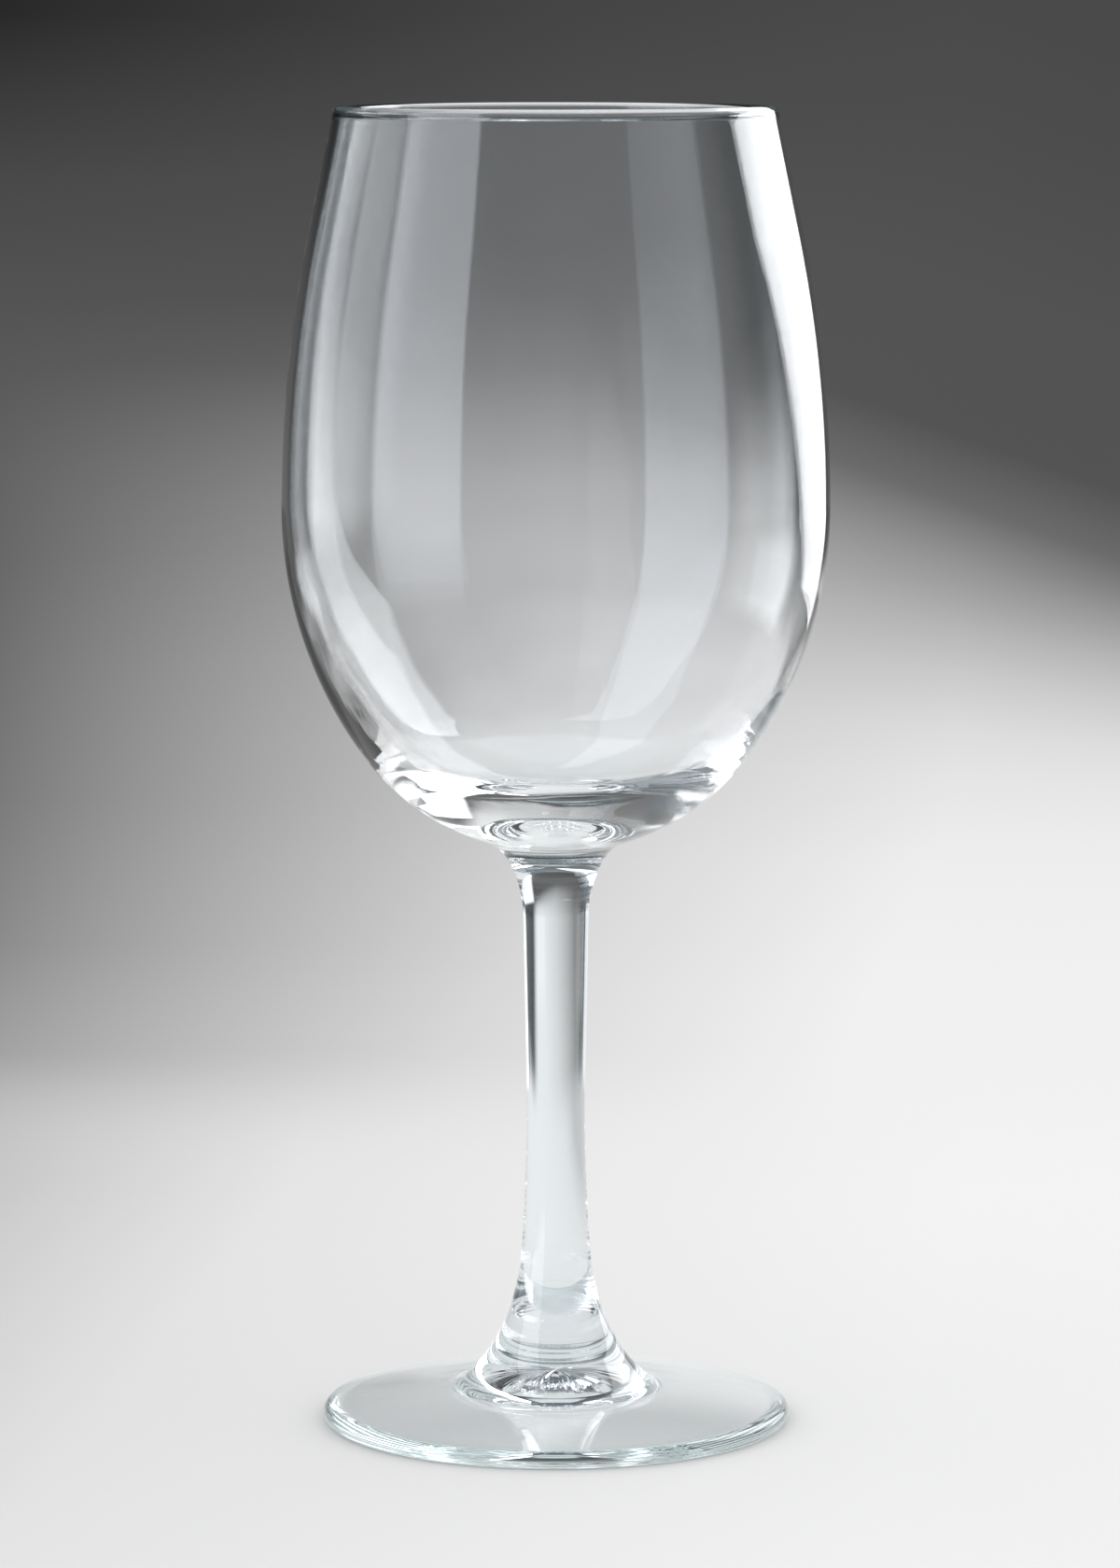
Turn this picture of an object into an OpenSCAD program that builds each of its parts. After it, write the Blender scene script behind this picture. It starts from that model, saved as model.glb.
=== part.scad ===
// Red wine glass: a blown bowl, a pressed stem and a pressed foot, fused at two flat seams.
// The axis is Z, the table is z = 0, and all sizes are in millimetres.

/* [Bowl] */
// Height of the bowl from the upper seam to the rim
bowl_h = 128; // [110:0.5:150]
// Outside diameter at the rim
rim_d = 75; // [66:0.5:84]
// Outside diameter at the belly, the widest girth
belly_d = 93; // [88:0.5:104]
// Height of the belly above the upper seam
belly_up = 60.3; // [52:0.1:70]
// Length of the straight wall below the rim
lip_l = 21; // [8:0.5:32]
// Radius of the round bottom as a share of the belly's radius
fullness = 0.875; // [0.78:0.005:0.92]
// Wall at the belly and above it
wall_t = 1.4; // [1:0.1:1.8]
// Thickness of the fire-polished bead round the rim
bead_d = 2; // [1.9:0.1:3]

/* [Bowl base] */
// Thickness of the base on the axis, above the round bottom
base_t = 8; // [7:0.5:14]
// Radius of the dished floor inside the bowl
floor_r = 55; // [50:1:90]
// Radius of the heel, where the floor turns up into the wall
heel_r = 18; // [14:0.5:22]
// Wall at the heel
heel_t = 3; // [2:0.1:4.5]
// Diameter of the neck at the upper seam
neck_d = 16.3; // [14:0.1:19]
// Gap between the upper seam and the round bottom
neck_h = 1.5; // [1:0.1:3]
// Radius of the fillet between the neck and the round bottom
neck_r = 7.3; // [5:0.1:10]

/* [Stem] */
// Length of the stem between its two seams
stem_l = 82; // [60:0.5:110]
// Diameter at the waist, the narrowest girth
waist_d = 10; // [8:0.1:11.5]
// Height of the waist above the lower seam
waist_up = 39.5; // [28:0.5:46]
// Radius of the stem's side at the waist
waist_r = 350; // [150:10:450]
// Radius of the sweep from the stem's side out to the neck
neck_sweep_r = 20.3; // [12:0.1:24]

/* [Foot] */
// Diameter of the foot
foot_d = 80.2; // [68:0.1:92]
// Thickness of the rounded edge
edge_t = 3.1; // [2:0.1:4]
// Radius of the foot's slightly crowned top
crown_r = 150; // [100:5:300]
// Height of the boss, up to the lower seam
boss_h = 15; // [12:0.1:19]
// Diameter of the boss at the lower seam
boss_d = 19.6; // [17:0.1:23]
// Diameter at the crease where the boss meets the crowned top
crease_d = 34.8; // [30:0.1:40]
// Height of that crease
crease_h = 6.1; // [5:0.1:7.5]
// Radius of the fillet along that crease
crease_r = 5; // [3:0.5:8]
// Radius of the boss's hollow side
boss_r = 22.7; // [12:0.1:40]

/* [Underside of the foot] */
// Width of the flat ring that the glass stands on
rest_w = 2; // [1.5:0.1:6]
// Height of the hollow inside the ring
hollow_h = 3.5; // [2:0.1:4.5]
// Diameter of the dimple under the stem
dimple_d = 19; // [14:0.5:24]
// Height of the dimple above the hollow
dimple_h = 3; // [1.5:0.1:4]

/* [Hidden] */
$fn = 128;
glass_tint = [0.86, 0.93, 0.93, 0.45];

// Furthest that a chord may lie inside its arc
chord_gap = 0.01;

// Heights of the two seams and of the rim
lower_seam = boss_h;
upper_seam = lower_seam + stem_l;
rim_z = upper_seam + bowl_h;

// Point at a distance from a, in the direction of b
function toward(a, b, distance) = a + (b - a) * distance / norm(b - a);

// Point at distance r1 from c1 and r2 from c2, to the right of the way from c1 to c2
function meet(c1, r1, c2, r2) =
    let (d = norm(c2 - c1))
    let (along = (d ^ 2 + r1 ^ 2 - r2 ^ 2) / (2 * d))
    let (u = (c2 - c1) / d)
    c1 + along * u + sqrt(r1 ^ 2 - along ^ 2) * [u.y, -u.x];

// Radius of the arc through the point p, with its centre in the direction n, that touches a circle
function touching_r(p, n, centre, r) =
    let (v = centre - p)
    (v * v - r ^ 2) / (2 * (v * n - r));

// Direction from both centres to the line that touches two circles, left of the way from c1 to c2
function touching_line(c1, r1, c2, r2) =
    let (d = norm(c2 - c1))
    let (u = (c2 - c1) / d)
    let (lean = (r1 - r2) / d)
    lean * u + sqrt(1 - lean ^ 2) * [-u.y, u.x];

// Height above its own rim of a dome, at the distance x from the axis
function dome_at(x, dome_d, dome_h) =
    let (r = (dome_d ^ 2 / 4 + dome_h ^ 2) / (2 * dome_h))
    sqrt(r ^ 2 - x ^ 2) - r + dome_h;

// Centre, on the axis, of the dome that has its top at the height z and passes the point p
function dome_centre(z, p) =
    [0, z - (p.x ^ 2 + (z - p.y) ^ 2) / (2 * (z - p.y))];

// Points of the arc about a centre from a to b, the shorter way round, after a itself
function arc(centre, a, b) =
    let (r = norm(a - centre), from_a = a - centre, from_b = b - centre)
    let (start = atan2(from_a.y, from_a.x))
    let (turn = atan2(cross(from_a, from_b), from_a * from_b))
    let (steps = ceil(abs(turn) / (2 * acos(1 - chord_gap / r))))
    [for (i = [1:steps]) centre + r * [cos(start + turn * i / steps), sin(start + turn * i / steps)]];

// Solid of revolution about the axis
module turned(outline) {
    rotate_extrude() polygon(outline);
}

// Outside of the bowl: fillet at the neck, round bottom, side up to the belly
belly = [belly_d / 2, upper_seam + belly_up];
bottom_r = fullness * belly.x;
bottom_c = [0, upper_seam + neck_h + bottom_r];
side_c = belly - [touching_r(belly, [-1, 0], bottom_c, bottom_r), 0];
bottom_end = toward(side_c, bottom_c, belly.x - side_c.x);
neck = [neck_d / 2, upper_seam];
neck_c = meet(neck, neck_r, bottom_c, bottom_r + neck_r);
neck_end = toward(bottom_c, neck_c, bottom_r);

// Wall above the belly: an arc, then a straight lip up to the bead
bead_r = bead_d / 2;
rim = [rim_d / 2, rim_z - bead_r];
lip = rim - belly;
upper_r = (lip * lip - lip_l ^ 2) / (-2 * lip.x);
upper_c = belly - [upper_r, 0];
lip_start = meet(upper_c, upper_r, rim, lip_l);
inward = toward([0, 0], upper_c - lip_start, wall_t);

// Bead round the rim, and the point under it where the inside of the lip begins
bead_c = rim - [bead_r, 0];
bead_top = bead_c + [0, bead_r];
lip_down = toward([0, 0], lip_start - rim, 1);
lip_off = rim + inward - bead_c;
lip_drop = sqrt((lip_off * lip_down) ^ 2 - lip_off * lip_off + bead_r ^ 2) - lip_off * lip_down;
bead_end = rim + inward + lip_drop * lip_down;

// Inside of the bowl below the belly: a side arc, the heel and the dished floor
floor_z = upper_seam + neck_h + base_t;
floor_c = [0, floor_z + floor_r];
heel_c = meet(bottom_c, bottom_r - heel_r - heel_t, floor_c, floor_r - heel_r);
inner_belly = belly - [wall_t, 0];
inner_side_c = inner_belly - [touching_r(inner_belly, [-1, 0], heel_c, heel_r), 0];
heel_top = toward(inner_side_c, heel_c, inner_belly.x - inner_side_c.x);
heel_end = toward(floor_c, heel_c, floor_r);

// Blown bowl, with its neck fused to the stem
module bowl() {
    color(glass_tint) turned(concat(
        [[0, upper_seam], neck],
        arc(neck_c, neck, neck_end),
        arc(bottom_c, neck_end, bottom_end),
        arc(side_c, bottom_end, belly),
        arc(upper_c, belly, lip_start),
        [rim],
        arc(bead_c, rim, bead_top),
        arc(bead_c, bead_top, bead_end),
        [lip_start + inward],
        arc(upper_c, lip_start + inward, inner_belly),
        arc(inner_side_c, inner_belly, heel_top),
        arc(heel_c, heel_top, heel_end),
        arc(floor_c, heel_end, [0, floor_z])
    ));
}

// Boss of the foot, which sets the slope of the stem at the lower seam
boss = [boss_d / 2, lower_seam];
crease = [crease_d / 2, crease_h];
boss_c = meet(crease, boss_r, boss, boss_r);

// Side of the stem: a sweep from the boss that touches the waist, a straight taper and a sweep to the neck
waist_c = [waist_d / 2 + waist_r, lower_seam + waist_up];
boss_sweep_r = touching_r(boss, toward([0, 0], boss_c - boss, 1), waist_c, waist_r);
boss_sweep_c = toward(boss, boss_c, boss_sweep_r);
waist_start = toward(waist_c, boss_sweep_c, waist_r);
neck_sweep_c = toward(neck, neck_c, neck_sweep_r);
upper_side = touching_line(waist_c, waist_r, neck_sweep_c, neck_sweep_r);
waist_end = waist_c + waist_r * upper_side;
neck_sweep_start = neck_sweep_c + neck_sweep_r * upper_side;

// Solid stem, fused to the boss below and to the neck above
module stem() {
    color(glass_tint) turned(concat(
        [[0, lower_seam], boss],
        arc(boss_sweep_c, boss, waist_start),
        arc(waist_c, waist_start, waist_end),
        [neck_sweep_start],
        arc(neck_sweep_c, neck_sweep_start, neck),
        [[0, upper_seam]]
    ));
}

// Edge and crowned top of the foot
edge_r = edge_t / 2;
edge_c = [foot_d / 2 - edge_r, edge_r];
crown_c = meet(crease, crown_r, edge_c, crown_r - edge_r);
rest_out = [edge_c.x, 0];

// Fillet along the crease, from the crowned top up to the boss
crease_c = meet(boss_c, boss_r - crease_r, crown_c, crown_r + crease_r);
crown_end = toward(crown_c, crease_c, crown_r);
boss_start = toward(boss_c, crease_c, boss_r);

// Underside of the foot: a hollow inside the ring that it stands on, and a dimple under the stem
rest_in = rest_out - [rest_w, 0];
dimple_end = [dimple_d / 2, dome_at(dimple_d / 2, 2 * rest_in.x, hollow_h)];
dimple_top = [0, dimple_end.y + dimple_h];

// Pressed foot with its boss
module foot() {
    color(glass_tint) turned(concat(
        [dimple_top],
        arc(dome_centre(dimple_top.y, dimple_end), dimple_top, dimple_end),
        arc(dome_centre(hollow_h, rest_in), dimple_end, rest_in),
        [rest_out],
        arc(edge_c, rest_out, toward(crown_c, edge_c, crown_r)),
        arc(crown_c, toward(crown_c, edge_c, crown_r), crown_end),
        arc(crease_c, crown_end, boss_start),
        arc(boss_c, boss_start, boss),
        [[0, lower_seam]]
    ));
}

bowl();
stem();
foot();
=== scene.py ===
import math

import bpy
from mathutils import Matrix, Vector


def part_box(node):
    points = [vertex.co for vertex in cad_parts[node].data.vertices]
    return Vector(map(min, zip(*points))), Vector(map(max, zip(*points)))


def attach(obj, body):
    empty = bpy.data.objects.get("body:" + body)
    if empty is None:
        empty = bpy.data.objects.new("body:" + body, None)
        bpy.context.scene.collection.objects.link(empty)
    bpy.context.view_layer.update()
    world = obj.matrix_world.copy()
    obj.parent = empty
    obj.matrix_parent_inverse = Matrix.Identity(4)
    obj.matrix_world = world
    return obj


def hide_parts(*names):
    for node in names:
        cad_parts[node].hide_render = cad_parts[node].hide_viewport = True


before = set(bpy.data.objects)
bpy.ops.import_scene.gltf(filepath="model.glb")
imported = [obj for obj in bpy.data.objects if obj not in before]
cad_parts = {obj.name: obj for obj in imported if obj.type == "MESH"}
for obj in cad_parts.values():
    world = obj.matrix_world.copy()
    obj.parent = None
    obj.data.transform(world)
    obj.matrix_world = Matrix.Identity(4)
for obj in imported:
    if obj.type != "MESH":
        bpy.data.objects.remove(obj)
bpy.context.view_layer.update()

# Bowl: blown from soda-lime glass, with a fire-polished bead round its rim and a thick round base.
# The outside was turned in a wet mould and is smooth. The inside is free glass, so the lower wall is
# uneven and a little thicker on one side. The short neck under the base is fused to the stem.
# The sizes of the three pieces are in millimetres, and angles are in degrees.
MM = 0.001
belly_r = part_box("bowl")[1].x / MM
rim_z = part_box("bowl")[1].z / MM
upper_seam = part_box("bowl")[0].z / MM
belly_up = 60.3
rim_r = 37.5
lip_l = 21
fullness = 0.875
bottom_r = fullness * belly_r
wall_t = 1.4
bead_r = 1
base_t = 8
floor_r = 55
heel_r = 18
heel_t = 3
neck_r = 8.15
neck_h = 1.5
neck_fillet = 7.3
turn_steps = 256
arc_step = 1.2


def toward(a, b, distance):
    """Point at a distance from a, in the direction of b."""
    return a + (b - a).normalized() * distance


def meet(c1, r1, c2, r2):
    """Point at distance r1 from c1 and r2 from c2, to the right of the way from c1 to c2."""
    way = c2 - c1
    d = way.length
    along = (d * d + r1 * r1 - r2 * r2) / (2 * d)
    u = way / d
    return c1 + along * u + math.sqrt(r1 * r1 - along * along) * Vector((u.y, -u.x))


def touching_r(p, n, centre, r):
    """Radius of the arc through the point p, with its centre in the direction n, that touches a circle."""
    v = centre - p
    return (v.dot(v) - r * r) / (2 * (v.dot(n) - r))


def arc(centre, a, b, longest=1.0, shortest=0.1, fewest=3):
    """Points of the arc about a centre from a to b, the shorter way round, after a itself."""
    from_a, from_b = a - centre, b - centre
    turn = math.atan2(from_a.x * from_b.y - from_a.y * from_b.x, from_a.dot(from_b))
    start = math.atan2(from_a.y, from_a.x)
    r = from_a.length
    way = abs(turn) * r
    fine = max(abs(turn) / math.radians(arc_step), way / longest)
    steps = max(fewest, math.ceil(min(fine, way / shortest)))
    spots = [start + turn * i / steps for i in range(1, steps + 1)]
    return [centre + r * Vector((math.cos(t), math.sin(t))) for t in spots]


def line(a, b, longest=1.5):
    """Points of the straight stretch from a to b, after a itself."""
    steps = max(1, math.ceil((b - a).length / longest))
    return [a.lerp(b, i / steps) for i in range(1, steps + 1)]


def linear(hex_colour):
    """Linear colour of an sRGB hex value."""
    parts = [int(hex_colour[i:i + 2], 16) / 255 for i in (1, 3, 5)]
    return [c / 12.92 if c <= 0.04045 else ((c + 0.055) / 1.055) ** 2.4 for c in parts] + [1]


def add(tree, kind, inputs=(), stops=(), **settings):
    """Node with its settings and colour stops. Inputs in order or by name are nodes, sockets or values."""
    made = tree.nodes.new(kind)
    if stops:
        ramp = made.color_ramp.elements
        ramp.remove(ramp[1])
        ramp[0].position, ramp[0].color = stops[0][0], linear(stops[0][1])
        for place, colour in stops[1:]:
            ramp.new(place).color = linear(colour)
    for name, value in settings.items():
        setattr(made, name, value)
    for name, source in inputs.items() if isinstance(inputs, dict) else enumerate(inputs):
        if isinstance(source, bpy.types.Node):
            source = next(socket for socket in source.outputs if socket.enabled)
        if isinstance(source, bpy.types.NodeSocket):
            tree.links.new(source, made.inputs[name])
        else:
            made.inputs[name].default_value = source
    return made


def new_material(name):
    """Material with an empty tree."""
    made = bpy.data.materials.new(name)
    made.use_nodes = True
    made.node_tree.nodes.clear()
    return made, made.node_tree


# Blown soda-lime glass: clear, with a green cast only where it is thick. Drawn streaks run up the wall,
# some 4 mm apart, so mirrored lights look brushed. A mix of colours takes its share at 0 and the two
# colours at 6 and 7.
glass_ior = 1.52
most_haze = 0.02
thin_z = upper_seam + 16
thick_z = upper_seam + 6
streak_w = 4
streak_depth = 0.008
streak_squeeze = (1, 1, 0.03)
blown, tree = new_material("blown soda-lime glass")
spot = add(tree, "ShaderNodeTexCoord").outputs["Object"]
height = add(tree, "ShaderNodeSeparateXYZ", [spot]).outputs["Z"]
thick = add(tree, "ShaderNodeMapRange", {
    "Value": height, "From Min": thin_z * MM, "From Max": thick_z * MM})
cast = add(tree, "ShaderNodeMix", {0: thick, 6: linear("#fdfeff"), 7: linear("#f5fafa")}, data_type="RGBA")
squeezed = add(tree, "ShaderNodeVectorMath", [spot, streak_squeeze], operation="MULTIPLY")
drawn = add(tree, "ShaderNodeTexNoise", {"Vector": squeezed, "Scale": 1 / (streak_w * MM), "Detail": 2.0})
streaks = add(tree, "ShaderNodeBump", {"Height": drawn, "Strength": 1.0, "Distance": streak_depth * MM})
haze = add(tree, "ShaderNodeMapRange", {
    "Value": drawn, "From Min": 0.5, "From Max": 1.0, "To Max": most_haze})
shader = add(tree, "ShaderNodeBsdfPrincipled", {
    "Base Color": cast, "Roughness": haze, "IOR": glass_ior, "Transmission Weight": 1.0, "Normal": streaks})
add(tree, "ShaderNodeOutputMaterial", [shader])

# Fused seam: glass on both sides, so light goes straight through it.
fused, tree = new_material("fused seam")
add(tree, "ShaderNodeOutputMaterial", [add(tree, "ShaderNodeBsdfTransparent")])

# Tree that turns an outline about the axis. The outline is a chain of points in the XZ plane, and each
# point says how uneven the glass is there and how deep its flutes are.
weld = 0.002
seam_reach = 0.01
corner_angle = 30
bump_w = 20
flute_scale = 7.0
turning = bpy.data.node_groups.new("turned glass", "GeometryNodeTree")
sockets = turning.interface
sockets.new_socket("Outline", in_out="INPUT", socket_type="NodeSocketGeometry")
lathe_settings = (
    ("Steps", "Int"), ("Bump depth", "Float"), ("Lean", "Vector"), ("Flute depth", "Float"),
    ("Lower seam", "Float"), ("Upper seam", "Float"), ("Glass", "Material"), ("Seam", "Material"))
for name, kind in lathe_settings:
    sockets.new_socket(name, in_out="INPUT", socket_type="NodeSocket" + kind)
sockets.new_socket("Piece", in_out="OUTPUT", socket_type="NodeSocketGeometry")
given = turning.nodes.new("NodeGroupInput").outputs
outline_size = add(turning, "GeometryNodeAttributeDomainSize", [given["Outline"]], component="MESH")
count = outline_size.outputs["Point Count"]
columns = add(turning, "ShaderNodeMath", [given["Steps"], 1.0], operation="ADD")
grid = add(turning, "GeometryNodeMeshGrid", {
    "Size X": 1.0, "Size Y": 1.0, "Vertices X": columns, "Vertices Y": count})
position = add(turning, "GeometryNodeInputPosition")
place = add(turning, "ShaderNodeSeparateXYZ", [position])
angle = add(turning, "ShaderNodeMath", [
    place.outputs["X"], 2 * math.pi, math.pi], operation="MULTIPLY_ADD")
share = add(turning, "ShaderNodeMath", [place.outputs["Y"], 0.5], operation="ADD")
last = add(turning, "ShaderNodeMath", [count, 1.0], operation="SUBTRACT")
row_place = add(turning, "ShaderNodeMath", [share, last], operation="MULTIPLY")
row = add(turning, "ShaderNodeMath", [row_place], operation="ROUND")


def outline_value(kind, field):
    """Node with a value of the outline's point for each row of the grid."""
    return add(turning, "GeometryNodeSampleIndex", {
        "Geometry": given["Outline"], "Value": field, "Index": row}, data_type=kind, domain="POINT")


point = add(turning, "ShaderNodeSeparateXYZ", [outline_value("FLOAT_VECTOR", position)])
around = add(turning, "ShaderNodeCombineXYZ", [
    add(turning, "ShaderNodeMath", [angle], operation="COSINE"),
    add(turning, "ShaderNodeMath", [angle], operation="SINE")])
out = add(turning, "ShaderNodeVectorMath", {0: around, "Scale": point.outputs["X"]}, operation="SCALE")
up = add(turning, "ShaderNodeCombineXYZ", {"Z": point.outputs["Z"]})
turned_spot = add(turning, "ShaderNodeVectorMath", [out, up], operation="ADD")
kept = grid.outputs["Mesh"]
for name in ("uneven", "fluted"):
    value = add(turning, "GeometryNodeInputNamedAttribute", {"Name": name}, data_type="FLOAT")
    kept = add(turning, "GeometryNodeStoreNamedAttribute", {
        "Geometry": kept, "Name": name, "Value": outline_value("FLOAT", value)},
        data_type="FLOAT", domain="POINT")
shaped = add(turning, "GeometryNodeSetPosition", {"Geometry": kept, "Position": turned_spot})
merged = add(turning, "GeometryNodeMergeByDistance", {"Geometry": shaped, "Distance": weld * MM})
# Free glass has bumps some 20 mm apart and leans to one side. Flutes run outwards from the axis.
uneven = add(turning, "GeometryNodeInputNamedAttribute", {"Name": "uneven"}, data_type="FLOAT")
fluted = add(turning, "GeometryNodeInputNamedAttribute", {"Name": "fluted"}, data_type="FLOAT")
bumps = add(turning, "ShaderNodeTexNoise", {"Vector": position, "Scale": 1 / (bump_w * MM), "Detail": 1.0})
bump_share = add(turning, "ShaderNodeMath", [bumps, 0.5], operation="SUBTRACT")
bump = add(turning, "ShaderNodeMath", [bump_share, given["Bump depth"]], operation="MULTIPLY")
level_spot = add(turning, "ShaderNodeVectorMath", [position, (1, 1, 0)], operation="MULTIPLY")
spoke = add(turning, "ShaderNodeVectorMath", [level_spot], operation="NORMALIZE")
ribs = add(turning, "ShaderNodeTexNoise", {"Vector": spoke, "Scale": flute_scale, "Detail": 2.0})
rib_share = add(turning, "ShaderNodeMath", [ribs, 0.5], operation="SUBTRACT")
rib = add(turning, "ShaderNodeMath", [rib_share, given["Flute depth"]], operation="MULTIPLY")
flute = add(turning, "ShaderNodeMath", [rib, fluted], operation="MULTIPLY")
depth = add(turning, "ShaderNodeMath", [bump, uneven, flute], operation="MULTIPLY_ADD")
normal = add(turning, "GeometryNodeInputNormal")
swell = add(turning, "ShaderNodeVectorMath", {0: normal, "Scale": depth}, operation="SCALE")
aside = add(turning, "ShaderNodeVectorMath", {0: given["Lean"], "Scale": uneven}, operation="SCALE")
shift = add(turning, "ShaderNodeVectorMath", [swell, aside], operation="ADD")
pushed = add(turning, "GeometryNodeSetPosition", {"Geometry": merged, "Offset": shift})
smooth = add(turning, "GeometryNodeSetShadeSmooth", {"Geometry": pushed}, domain="FACE")
edge_angle = add(turning, "GeometryNodeInputMeshEdgeAngle")
corner = add(turning, "ShaderNodeMath", [
    edge_angle, math.radians(corner_angle)], operation="GREATER_THAN")
sharp = add(turning, "GeometryNodeSetShadeSmooth", {
    "Geometry": smooth, "Selection": corner, "Shade Smooth": False}, domain="EDGE")
real = add(turning, "GeometryNodeRealizeInstances", {"Geometry": sharp})
all_glass = add(turning, "GeometryNodeSetMaterial", {"Geometry": real, "Material": given["Glass"]})
level = add(turning, "ShaderNodeSeparateXYZ", [position]).outputs["Z"]
at_lower = add(turning, "ShaderNodeMath", [
    level, given["Lower seam"], seam_reach * MM], operation="COMPARE")
at_upper = add(turning, "ShaderNodeMath", [
    level, given["Upper seam"], seam_reach * MM], operation="COMPARE")
at_seam = add(turning, "ShaderNodeMath", [at_lower, at_upper], operation="MAXIMUM")
done = add(turning, "GeometryNodeSetMaterial", {
    "Geometry": all_glass, "Selection": at_seam, "Material": given["Seam"]})
add(turning, "NodeGroupOutput", [done])

# A seam that a piece lacks is put below the table, where no glass is.
nowhere = -1.0
bump_depth = 0.5
lean_x = 0.6
flute_depth = 0.5


def turned(node, outline, material, lower=nowhere, upper=nowhere, uneven=None, fluted=None):
    """Closed piece of glass turned from an outline, with fused seams at the given heights."""
    name = node + "_glass"
    chain = bpy.data.meshes.new(name)
    points = [(p.x * MM, 0, p.y * MM) for p in outline]
    chain.from_pydata(points, [(i, i + 1) for i in range(len(points) - 1)], [])
    for kind, shares in (("uneven", uneven), ("fluted", fluted)):
        attribute = chain.attributes.new(kind, "FLOAT", "POINT")
        attribute.data.foreach_set("value", shares or [0.0] * len(points))
    piece = bpy.data.objects.new(name, chain)
    bpy.context.scene.collection.objects.link(piece)
    lathe = piece.modifiers.new("turned", "NODES")
    lathe.node_group = turning
    values = {
        "Steps": turn_steps, "Bump depth": bump_depth * MM, "Lean": (lean_x * MM, 0, 0),
        "Flute depth": flute_depth * MM, "Lower seam": lower * MM, "Upper seam": upper * MM,
        "Glass": material, "Seam": fused}
    for item in turning.interface.items_tree:
        if item.in_out == "INPUT" and item.name in values:
            lathe[item.identifier] = values[item.name]
    evaluated = piece.evaluated_get(bpy.context.evaluated_depsgraph_get())
    piece.data = bpy.data.meshes.new_from_object(evaluated)
    piece.modifiers.clear()
    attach(piece, "root")
    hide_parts(node)


to_axis = Vector((-1, 0))
belly = Vector((belly_r, upper_seam + belly_up))
bottom_c = Vector((0, upper_seam + neck_h + bottom_r))
side_c = belly - Vector((touching_r(belly, to_axis, bottom_c, bottom_r), 0))
bottom_end = toward(side_c, bottom_c, belly.x - side_c.x)
neck = Vector((neck_r, upper_seam))
neck_c = meet(neck, neck_fillet, bottom_c, bottom_r + neck_fillet)
neck_end = toward(bottom_c, neck_c, bottom_r)
rim = Vector((rim_r, rim_z - bead_r))
lip = rim - belly
upper_r = (lip.dot(lip) - lip_l ** 2) / (-2 * lip.x)
upper_c = belly - Vector((upper_r, 0))
lip_start = meet(upper_c, upper_r, rim, lip_l)
inward = (upper_c - lip_start).normalized() * wall_t
bead_c = rim - Vector((bead_r, 0))
bead_top = bead_c + Vector((0, bead_r))
lip_down = (lip_start - rim).normalized()
lip_off = rim + inward - bead_c
lip_side = lip_off.dot(lip_down)
lip_drop = math.sqrt(lip_side ** 2 - lip_off.dot(lip_off) + bead_r ** 2) - lip_side
bead_end = rim + inward + lip_drop * lip_down
floor_z = upper_seam + neck_h + base_t
floor_c = Vector((0, floor_z + floor_r))
heel_c = meet(bottom_c, bottom_r - heel_r - heel_t, floor_c, floor_r - heel_r)
inner_belly = belly - Vector((wall_t, 0))
inner_side_c = inner_belly - Vector((touching_r(inner_belly, to_axis, heel_c, heel_r), 0))
heel_top = toward(inner_side_c, heel_c, inner_belly.x - inner_side_c.x)
heel_end = toward(floor_c, heel_c, floor_r)
outside = [Vector((0, upper_seam))] + line(Vector((0, upper_seam)), neck)
outside += arc(neck_c, neck, neck_end)
outside += arc(bottom_c, neck_end, bottom_end)
outside += arc(side_c, bottom_end, belly)
outside += arc(upper_c, belly, lip_start)
outside += line(lip_start, rim)
outside += arc(bead_c, rim, bead_top)
outside += arc(bead_c, bead_top, bead_end)
inside = line(bead_end, lip_start + inward)
inside += arc(upper_c, lip_start + inward, inner_belly)
inside += arc(inner_side_c, inner_belly, heel_top)
inside += arc(heel_c, heel_top, heel_end)
inside += arc(floor_c, heel_end, Vector((0, floor_z)))
# The inside is even above the belly and most uneven from 30 mm below it. It evens out at the axis.
uneven_l = 30
even_r = 10
bowl_uneven = [0.0] * len(outside)
for p in inside:
    below_belly = min(1.0, max(0.0, (belly.y - p.y) / uneven_l))
    bowl_uneven.append(below_belly * min(1.0, p.x / even_r))
turned("bowl", outside + inside, blown, lower=upper_seam, uneven=bowl_uneven)

# Stem: a solid rod of the same glass, pressed in a mould. It is waisted a little below its middle and
# sweeps out to the two fused seams.
lower_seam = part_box("stem")[0].z / MM
waist_r = 5
waist_up = 39.5
waist_sweep = 350
neck_sweep = 20.3
boss_r = 9.8
boss_hollow = 22.7
crease = Vector((17.4, 6.1))
foot_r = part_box("foot")[1].x / MM


def touching_line(c1, r1, c2, r2):
    """Direction from both centres to the line that touches two circles, left of the way from c1 to c2."""
    way = c2 - c1
    u = way.normalized()
    lean = (r1 - r2) / way.length
    return lean * u + math.sqrt(1 - lean * lean) * Vector((-u.y, u.x))


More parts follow.
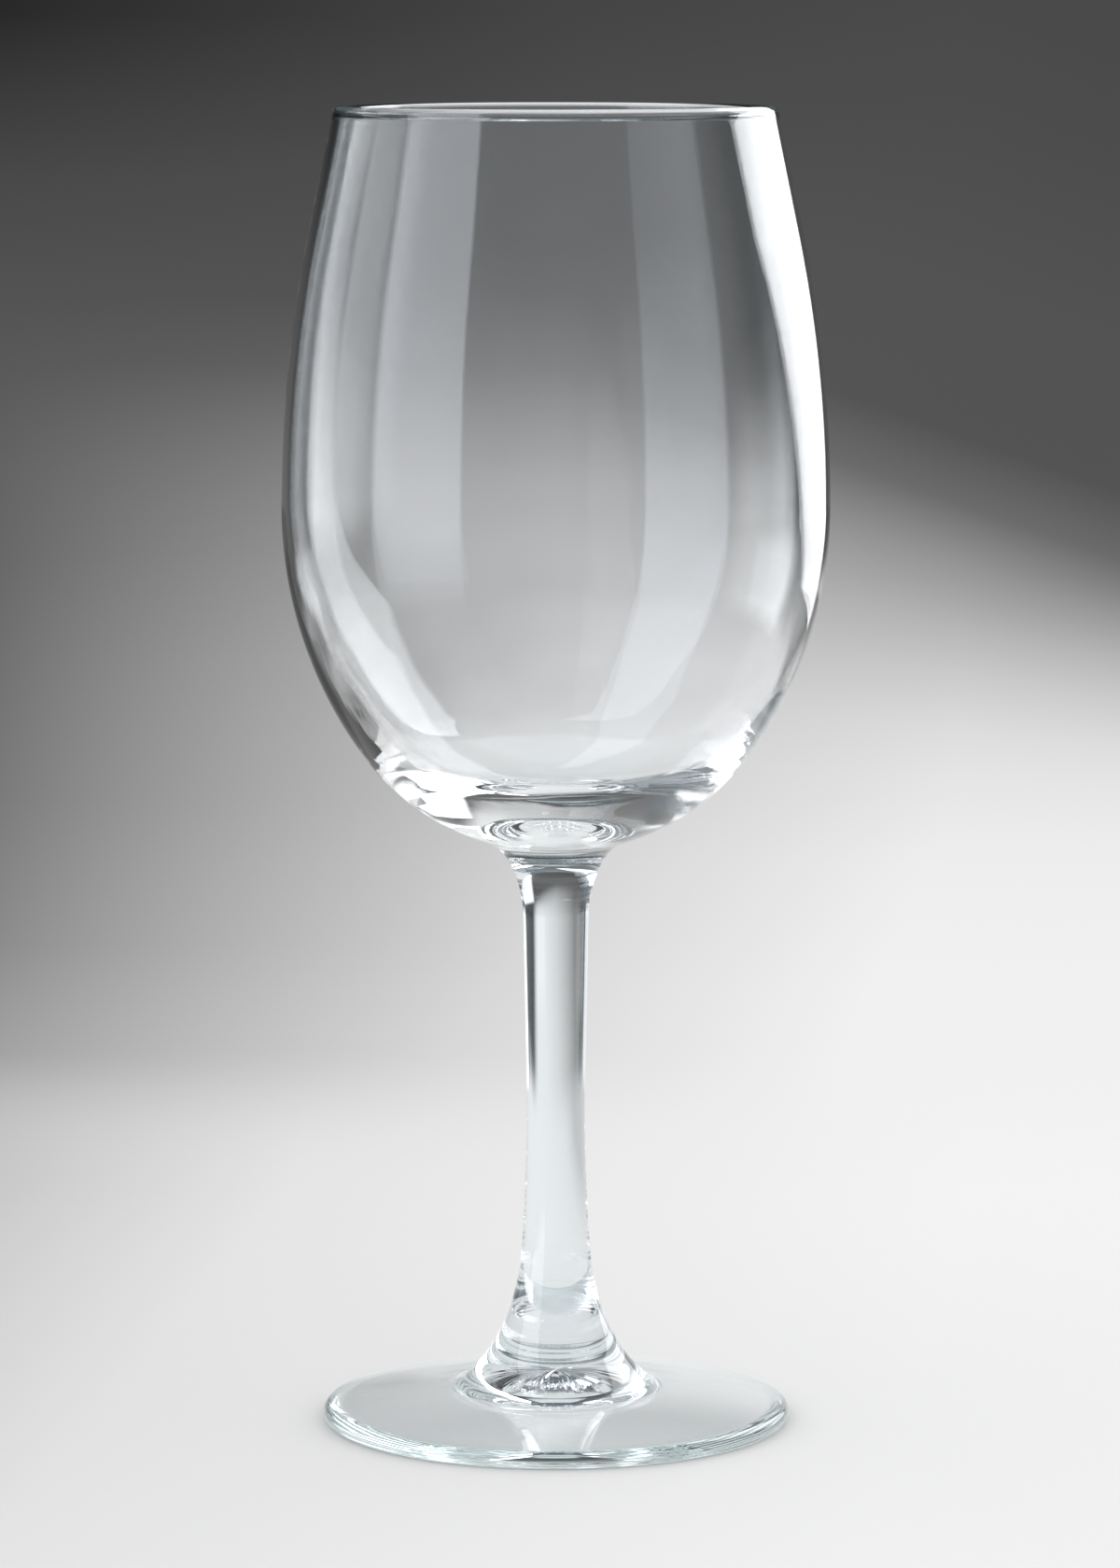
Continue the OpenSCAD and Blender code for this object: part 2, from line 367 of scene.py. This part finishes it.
# Pressed soda-lime glass: the mould chilled its skin, which ripples a little every 6 mm. The foot's edge
# shows the green cast of the glass, because one looks along it.
ripple_w = 6
ripple_depth = 0.006
edge_start = foot_r - 3
edge_full = foot_r - 1
pressed, tree = new_material("pressed soda-lime glass")
spot = add(tree, "ShaderNodeTexCoord").outputs["Object"]
level_spot = add(tree, "ShaderNodeVectorMath", [spot, (1, 1, 0)], operation="MULTIPLY")
across = add(tree, "ShaderNodeVectorMath", [level_spot], operation="LENGTH").outputs["Value"]
edge = add(tree, "ShaderNodeMapRange", {
    "Value": across, "From Min": edge_start * MM, "From Max": edge_full * MM})
cast = add(tree, "ShaderNodeMix", {0: edge, 6: linear("#f4f9fb"), 7: linear("#e0eeef")}, data_type="RGBA")
chill = add(tree, "ShaderNodeTexNoise", {"Vector": spot, "Scale": 1 / (ripple_w * MM), "Detail": 1.0})
ripples = add(tree, "ShaderNodeBump", {"Height": chill, "Strength": 1.0, "Distance": ripple_depth * MM})
haze = add(tree, "ShaderNodeMapRange", {
    "Value": chill, "From Min": 0.5, "From Max": 1.0, "To Max": most_haze})
shader = add(tree, "ShaderNodeBsdfPrincipled", {
    "Base Color": cast, "Roughness": haze, "IOR": glass_ior, "Transmission Weight": 1.0, "Normal": ripples})
add(tree, "ShaderNodeOutputMaterial", [shader])

boss = Vector((boss_r, lower_seam))
boss_c = meet(crease, boss_hollow, boss, boss_hollow)
waist_c = Vector((waist_r + waist_sweep, lower_seam + waist_up))
boss_sweep = touching_r(boss, (boss_c - boss).normalized(), waist_c, waist_sweep)
boss_sweep_c = toward(boss, boss_c, boss_sweep)
waist_start = toward(waist_c, boss_sweep_c, waist_sweep)
neck_sweep_c = toward(neck, neck_c, neck_sweep)
upper_side = touching_line(waist_c, waist_sweep, neck_sweep_c, neck_sweep)
waist_end = waist_c + waist_sweep * upper_side
neck_sweep_start = neck_sweep_c + neck_sweep * upper_side
rod = [Vector((0, lower_seam))] + line(Vector((0, lower_seam)), boss)
rod += arc(boss_sweep_c, boss, waist_start)
rod += arc(waist_c, waist_start, waist_end)
rod += line(waist_end, neck_sweep_start)
rod += arc(neck_sweep_c, neck_sweep_start, neck)
rod += line(neck, Vector((0, upper_seam)))
turned("stem", rod, pressed, lower=lower_seam, upper=upper_seam)

# Foot: a pressed disc with a rounded edge and a flared boss on top. It stands on a narrow flat ring.
# Its underside is hollow, with a dimple under the stem where the tool left flutes.
edge_r = 1.55
crown_r = 150
crease_r = 5
rest_w = 2
hollow_h = 3.5
dimple_r = 9.5
dimple_h = 3


def dome_centre(z, p):
    """Centre, on the axis, of the dome that has its top at the height z and passes the point p."""
    return Vector((0, z - (p.x ** 2 + (z - p.y) ** 2) / (2 * (z - p.y))))


edge_c = Vector((foot_r - edge_r, edge_r))
crown_c = meet(crease, crown_r, edge_c, crown_r - edge_r)
edge_top = toward(crown_c, edge_c, crown_r)
crease_c = meet(boss_c, boss_hollow - crease_r, crown_c, crown_r + crease_r)
crown_end = toward(crown_c, crease_c, crown_r)
boss_start = toward(boss_c, crease_c, boss_hollow)
rest_out = Vector((edge_c.x, 0))
rest_in = rest_out - Vector((rest_w, 0))
hollow_c = dome_centre(hollow_h, rest_in)
hollow_dome = (rest_in - hollow_c).length
dimple_end = Vector((dimple_r, hollow_c.y + math.sqrt(hollow_dome ** 2 - dimple_r ** 2)))
dimple_top = Vector((0, dimple_end.y + dimple_h))
dimple = [dimple_top] + arc(dome_centre(dimple_top.y, dimple_end), dimple_top, dimple_end)
disc = arc(hollow_c, dimple_end, rest_in)
disc += line(rest_in, rest_out)
disc += arc(edge_c, rest_out, edge_top)
disc += arc(crown_c, edge_top, crown_end)
disc += arc(crease_c, crown_end, boss_start)
disc += arc(boss_c, boss_start, boss)
disc += line(boss, Vector((0, lower_seam)))
foot_fluted = [math.sin(math.pi * p.x / dimple_r) for p in dimple] + [0.0] * len(disc)
turned("foot", dimple + disc, pressed, upper=lower_seam, fluted=foot_fluted)

# Floor: a pale table top that sweeps up behind the glass into a wall. Light and shade are painted on it:
# it is bright at the right and gets dark to the left and to the top. It fades out some way from the
# glass. From here on sizes are in metres.
table_end = 0.45
sweep_y = 0.2
sweep_r = 0.1
sweep_step = 6
wall_y = sweep_y + sweep_r
wall_top = 0.27
wall_middle = -0.025
table_gap = 0.05 * MM
profile = [(-table_end, 0), (-0.1, 0), (0, 0), (0.1, 0), (sweep_y, 0)]
for degrees in range(sweep_step, 91, sweep_step):
    turn = math.radians(degrees)
    profile.append((sweep_y + sweep_r * math.sin(turn), sweep_r * (1 - math.cos(turn))))
profile += [(wall_y, 0.2), (wall_y, wall_top)]
corners = [(x, y, z - table_gap) for y, z in profile for x in (-table_end, table_end)]
faces = [(i, i + 1, i + 3, i + 2) for i in range(0, len(corners) - 2, 2)]
floor_mesh = bpy.data.meshes.new("floor")
floor_mesh.from_pydata(corners, [], faces)
floor_mesh.shade_smooth()
table = bpy.data.objects.new("floor", floor_mesh)
bpy.context.scene.collection.objects.link(table)

# Matt paint with painted light and shade: a grey without any gloss, so that only its slow change of tone
# shows. The table top has painted light that grows brighter from left to right. The wall has one run of
# painted shade at the left and one of painted light and shade at the right, from low to high, and the
# right one's painted shadow edge slopes down outwards.
pale, tree = new_material("matt backdrop with painted light and shade")
spot = add(tree, "ShaderNodeTexCoord").outputs["Object"]
x, y, z = add(tree, "ShaderNodeSeparateXYZ", [spot]).outputs
path = add(tree, "ShaderNodeLightPath").outputs
# Painted light on the table top: brighter towards the right.
back_left = add(tree, "ShaderNodeMath", [y, -0.116, x], operation="MULTIPLY_ADD")
top_place = add(tree, "ShaderNodeMapRange", {"Value": back_left, "From Min": -0.15, "From Max": 0.1})
top_painted_light = add(tree, "ShaderNodeValToRGB", [top_place], stops=[
    (0.0, "#c4c4c4"), (0.1, "#d2d2d2"), (0.19, "#dddddd"), (0.28, "#e7e7e7"), (0.4, "#ebebeb"),
    (0.6, "#f0f0f0"), (0.72, "#f3f3f3"), (0.84, "#f5f5f5")])
# Painted shade on the wall's left: darker towards the top.
left_place = add(tree, "ShaderNodeMapRange", {"Value": z, "From Min": 0.0, "From Max": 0.25})
left_painted_shade = add(tree, "ShaderNodeValToRGB", [left_place], stops=[
    (0.0, "#c2c2c2"), (0.08, "#8d8d8d"), (0.16, "#7b7b7b"), (0.28, "#797979"), (0.37, "#727272"),
    (0.49, "#666666"), (0.57, "#626262"), (0.65, "#595959"), (0.82, "#484848"), (0.96, "#282828")])
# Painted light and shade on the wall's right, with a painted shadow edge that slopes down outwards.
slope = add(tree, "ShaderNodeMapRange", {
    "Value": z, "From Min": 0.05, "From Max": 0.12, "To Max": 0.35}, interpolation_type="SMOOTHSTEP")
outwards = add(tree, "ShaderNodeMath", [x, 0.0], operation="MAXIMUM")
sloping = add(tree, "ShaderNodeMath", [outwards, slope, z], operation="MULTIPLY_ADD")
right_place = add(tree, "ShaderNodeMapRange", {"Value": sloping, "From Min": 0.032, "From Max": 0.282})
right_painted_light_and_shade = add(tree, "ShaderNodeValToRGB", [right_place], stops=[
    (0.0, "#f1f1f1"), (0.1, "#eeeeee"), (0.2, "#e6e6e6"), (0.27, "#dddddd"), (0.35, "#cacaca"),
    (0.41, "#b6b6b6"), (0.475, "#969696"), (0.53, "#6c6c6c"), (0.59, "#545454"), (0.7, "#535353"),
    (0.96, "#4a4a4a")])
low_part = add(tree, "ShaderNodeMath", [z, 0.07], operation="MINIMUM")
leaning = add(tree, "ShaderNodeMath", [low_part, -0.5, x], operation="MULTIPLY_ADD")
right_share = add(tree, "ShaderNodeMapRange", {"Value": leaning, "From Min": -0.158, "From Max": 0.052})
rightward = add(tree, "ShaderNodeValToRGB", [right_share], stops=[
    (0.0, "#000000"), (0.62, "#dbdbdb"), (1.0, "#ffffff")])
wall_painted_light_and_shade = add(tree, "ShaderNodeMix", {0: rightward, 6: left_painted_shade, 7: right_painted_light_and_shade}, data_type="RGBA")
rising = add(tree, "ShaderNodeMapRange", {
    "Value": z, "From Min": 0.0, "From Max": 0.02}, interpolation_type="SMOOTHSTEP")
painted_tone = add(tree, "ShaderNodeMix", {0: rising, 6: top_painted_light, 7: wall_painted_light_and_shade}, data_type="RGBA")
# The wall glows with its painted light and shade instead of being lit. Through the glass the table top
# glows too, by a share of its light.
unshaded_share = 0.9
bent = add(tree, "ShaderNodeMath", [path["Transmission Depth"], path["Glossy Depth"]], operation="ADD")
by_glass = add(tree, "ShaderNodeMath", [bent, 0.5], operation="GREATER_THAN")
through = add(tree, "ShaderNodeMath", [by_glass, unshaded_share], operation="MULTIPLY")
plain = add(tree, "ShaderNodeMath", [through, rising], operation="MAXIMUM")
matt = add(tree, "ShaderNodeBsdfDiffuse", [painted_tone])
unshaded = add(tree, "ShaderNodeEmission", [painted_tone])
painted = add(tree, "ShaderNodeMixShader", [plain, matt, unshaded])
# The sweep fades out some way from the glass. It is clear from behind and from below.
level_spot = add(tree, "ShaderNodeCombineXYZ", [x, y])
distance = add(tree, "ShaderNodeVectorMath", [level_spot], operation="LENGTH").outputs["Value"]
far = add(tree, "ShaderNodeMapRange", {
    "Value": distance, "From Min": 0.34, "From Max": 0.42}, interpolation_type="SMOOTHSTEP")
from_middle = add(tree, "ShaderNodeMath", [x, wall_middle], operation="SUBTRACT")
off_middle = add(tree, "ShaderNodeMath", [from_middle], operation="ABSOLUTE")
beside = add(tree, "ShaderNodeMapRange", {
    "Value": off_middle, "From Min": 0.145, "From Max": 0.225}, interpolation_type="SMOOTHSTEP")
above = add(tree, "ShaderNodeMapRange", {
    "Value": z, "From Min": 0.25, "From Max": wall_top}, interpolation_type="SMOOTHSTEP")
lighting = add(tree, "ShaderNodeMath", [path["Diffuse Depth"], 0.5], operation="GREATER_THAN")
wall_unseen = add(tree, "ShaderNodeMath", [lighting, beside], operation="MAXIMUM")
unseen = add(tree, "ShaderNodeMath", [wall_unseen, rising], operation="MULTIPLY")
behind = add(tree, "ShaderNodeNewGeometry").outputs["Backfacing"]
for more in (far, above, behind):
    unseen = add(tree, "ShaderNodeMath", [unseen, more], operation="MAXIMUM")
clear = add(tree, "ShaderNodeBsdfTransparent")
add(tree, "ShaderNodeOutputMaterial", [add(tree, "ShaderNodeMixShader", [unseen, painted, clear])])
pale.cycles.emission_sampling = "NONE"
floor_mesh.materials.append(pale)

# Studio: a slate room with a pale bench in front and pale tables at both sides, near the horizon. Low
# lights stand at both sides towards the back, a tall soft box at the left in front and a lamp high at the
# back. The floor is lit evenly from all sides.
lamp_white = "#fbfdff"
unlit = "#000000"
all_round = (-181, -180, 180, 181)
world = bpy.data.worlds.new("studio")
bpy.context.scene.world = world
world.use_nodes = True
tree = world.node_tree
tree.nodes.clear()
path = add(tree, "ShaderNodeLightPath").outputs
way = add(tree, "ShaderNodeTexCoord").outputs["Generated"]
x, y, z = add(tree, "ShaderNodeSeparateXYZ", [way]).outputs
forward = add(tree, "ShaderNodeMath", [y, -1.0], operation="MULTIPLY")
front_turn = add(tree, "ShaderNodeMath", [x, forward], operation="ARCTAN2")
front = add(tree, "ShaderNodeMath", [front_turn], operation="DEGREES")
to_back = add(tree, "ShaderNodeMath", [front], operation="ABSOLUTE")
rise_turn = add(tree, "ShaderNodeMath", [z], operation="ARCSINE")
rise = add(tree, "ShaderNodeMath", [rise_turn], operation="DEGREES")
rise_share = add(tree, "ShaderNodeMapRange", {"Value": rise, "From Min": -90.0, "From Max": 90.0})


def room_light(turns, strength, colours, turn=front):
    """Light that comes and goes at four turns from the front, with a colour for each rise."""
    first = add(tree, "ShaderNodeMapRange", {
        "Value": turn, "From Min": turns[0], "From Max": turns[1], "To Max": strength},
        interpolation_type="SMOOTHSTEP")
    final = add(tree, "ShaderNodeMapRange", {
        "Value": turn, "From Min": turns[3], "From Max": turns[2]}, interpolation_type="SMOOTHSTEP")
    stops = [((degrees + 90) / 180, colour) for degrees, colour in colours]
    by_rise = add(tree, "ShaderNodeValToRGB", [rise_share], stops=stops)
    power = add(tree, "ShaderNodeMath", [first, final], operation="MULTIPLY")
    return add(tree, "ShaderNodeBackground", [by_rise, power])


slate = room_light(all_round, 1.0, [(-2, "#2b3032"), (8, "#566064")])
bench = room_light((-90, -70, 80, 100), 1.1, [
    (-40, "#b4b5b6"), (-25, "#bbbcbd"), (-21, "#cdcecf"), (-15, "#eaebec"), (-10, "#f1f2f3"),
    (-4.5, "#fafbfc"), (0, "#dedfe0"), (2.5, "#cacbcc"), (9, "#adaeaf"), (16, "#949596"),
    (22, "#7c7d7e"), (40, "#404243")])
right_table = room_light((70, 96, 116, 122), 2.0, [
    (-12, lamp_white), (-6, "#e9ebed"), (-2, "#c9cbcd"), (1, "#898a8b"), (4, unlit)])
left_table = room_light((-126, -121, -98, -82), 1.4, [
    (-12, unlit), (-8, "#c9cbcd"), (-4, lamp_white), (2, "#bcbdbf"), (8, unlit)])
low_right = room_light((92, 96, 122, 126), 0.8, [(-9, lamp_white), (-4, unlit)])
low_left = room_light((-165, -155, -130, -126), 1.0, [(-14, lamp_white), (-11, unlit)])
back_lamp = room_light((154, 162, 180, 181), 0.7, [
    (38, unlit), (44, lamp_white), (54, lamp_white), (60, unlit)], to_back)
left_box = room_light((-83.5, -82, -41, -39.5), 2.1, [
    (-25, "#868890"), (-12, "#c3c6cd"), (-7, "#e3e6ed"), (0, "#e8ebf3"), (10, "#f4f7ff")])
room = slate
for more in (bench, right_table, left_table, low_right, low_left, back_lamp, left_box):
    room = add(tree, "ShaderNodeAddShader", [room, more])
# The eye sees a plain room, and so do rays that go straight through both sides of the bowl, or down
# through one.
plain_room = room_light(all_round, 1.0, [
    (-14, "#cfd0d1"), (-9, "#a9adaf"), (-5, "#7c8487"), (2, "#6a7276"), (30, "#5c6468")])
both_sides = add(tree, "ShaderNodeMath", [path["Transmission Depth"], 2.5], operation="GREATER_THAN")
downward = add(tree, "ShaderNodeMapRange", {
    "Value": rise, "From Min": -10.0, "From Max": -14.0}, interpolation_type="SMOOTHSTEP")
plain_way = add(tree, "ShaderNodeMath", [both_sides, downward], operation="MAXIMUM")
unmirrored = add(tree, "ShaderNodeMath", [path["Glossy Depth"], 0.5], operation="LESS_THAN")
straight = add(tree, "ShaderNodeMath", [plain_way, unmirrored], operation="MULTIPLY")
to_eye = add(tree, "ShaderNodeMath", [straight, path["Is Camera Ray"]], operation="MAXIMUM")
shown = add(tree, "ShaderNodeMixShader", [to_eye, room, plain_room])
even = add(tree, "ShaderNodeBackground", [(1, 1, 1, 1), 1.0])
lighting = add(tree, "ShaderNodeMath", [path["Diffuse Depth"], 0.5], operation="GREATER_THAN")
add(tree, "ShaderNodeOutputWorld", [add(tree, "ShaderNodeMixShader", [lighting, shown, even])])
world.cycles.sampling_method = "NONE"
# Light runs on through many mirror bounces inside the thick glass.
bpy.context.scene.cycles.max_bounces = 48
bpy.context.scene.cycles.glossy_bounces = 36
bpy.context.scene.cycles.transmission_bounces = 24
bpy.context.scene.cycles.transparent_max_bounces = 32

# Soft box at the right behind: a tall lit cloth that hangs above the table, with slanting soft edges.
# Only the glass shows it.
cloth_low = 0.035
cloth_top = 0.62
cloth_corners = [
    (0.39, 0.313, cloth_low), (0.22, 0.459, cloth_low),
    (0.22, 0.459, cloth_top), (0.545, -0.128, cloth_top)]
box_mesh = bpy.data.meshes.new("soft_box")
box_mesh.from_pydata(cloth_corners, [], [(0, 1, 2, 3)])
box = bpy.data.objects.new("soft_box", box_mesh)
bpy.context.scene.collection.objects.link(box)

# Lit cloth: a cool white glow that the glass mirrors as a white band, stronger towards the top. A mix of
# numbers takes its share at 0 and the two numbers at 2 and 3.
through_glow = 1.3
cloth, tree = new_material("lit cloth")
path = add(tree, "ShaderNodeLightPath").outputs
spot = add(tree, "ShaderNodeTexCoord").outputs["Object"]
x, y, z = add(tree, "ShaderNodeSeparateXYZ", [spot]).outputs
mirror_glow = add(tree, "ShaderNodeMapRange", {
    "Value": z, "From Min": 0.08, "From Max": 0.28, "To Min": 2.4, "To Max": 5.0})
mirrored = add(tree, "ShaderNodeMath", [path["Glossy Depth"], 0.5], operation="GREATER_THAN")
power = add(tree, "ShaderNodeMix", {0: mirrored, 2: through_glow, 3: mirror_glow})
lamp = add(tree, "ShaderNodeEmission", [linear(lamp_white), power])
low_slant = add(tree, "ShaderNodeMath", [z, 0.754, y], operation="MULTIPLY_ADD")
low_front = add(tree, "ShaderNodeMapRange", {
    "Value": low_slant, "From Min": 0.365, "From Max": 0.315}, interpolation_type="SMOOTHSTEP")
high_slant = add(tree, "ShaderNodeMath", [z, -0.5, y], operation="MULTIPLY_ADD")
high_front = add(tree, "ShaderNodeMapRange", {
    "Value": high_slant, "From Min": -0.045, "From Max": -0.105}, interpolation_type="SMOOTHSTEP")
back = add(tree, "ShaderNodeMapRange", {
    "Value": x, "From Min": 0.25, "From Max": 0.23}, interpolation_type="SMOOTHSTEP")
# Rays that go straight through both sides of the bowl miss the cloth, and its low part is only mirrored.
both_sides = add(tree, "ShaderNodeMath", [path["Transmission Depth"], 2.5], operation="GREATER_THAN")
low = add(tree, "ShaderNodeMapRange", {
    "Value": z, "From Min": 0.13, "From Max": 0.1}, interpolation_type="SMOOTHSTEP")
missed = add(tree, "ShaderNodeMath", [both_sides, low], operation="MAXIMUM")
unmirrored = add(tree, "ShaderNodeMath", [1.0, mirrored], operation="SUBTRACT")
straight = add(tree, "ShaderNodeMath", [missed, unmirrored], operation="MULTIPLY")
unseen = add(tree, "ShaderNodeMath", [path["Diffuse Depth"], 0.5], operation="GREATER_THAN")
for more in (path["Is Camera Ray"], straight, low_front, high_front, back):
    unseen = add(tree, "ShaderNodeMath", [unseen, more], operation="MAXIMUM")
clear = add(tree, "ShaderNodeBsdfTransparent")
add(tree, "ShaderNodeOutputMaterial", [add(tree, "ShaderNodeMixShader", [unseen, lamp, clear])])
cloth.cycles.emission_sampling = "NONE"
box_mesh.materials.append(cloth)

# Camera: a long lens about a metre away, a little above the rim and tilted down.
tilt_down = 7.091
camera = bpy.data.objects.new("camera", bpy.data.cameras.new("camera"))
camera.location = (0.0007, -1.0678, 0.2429)
camera.rotation_euler = (math.radians(90 - tilt_down), 0, 0)
camera.data.lens = 144.99
bpy.context.scene.collection.objects.link(camera)
bpy.context.scene.camera = camera
bpy.context.scene.view_settings.view_transform = "Standard"
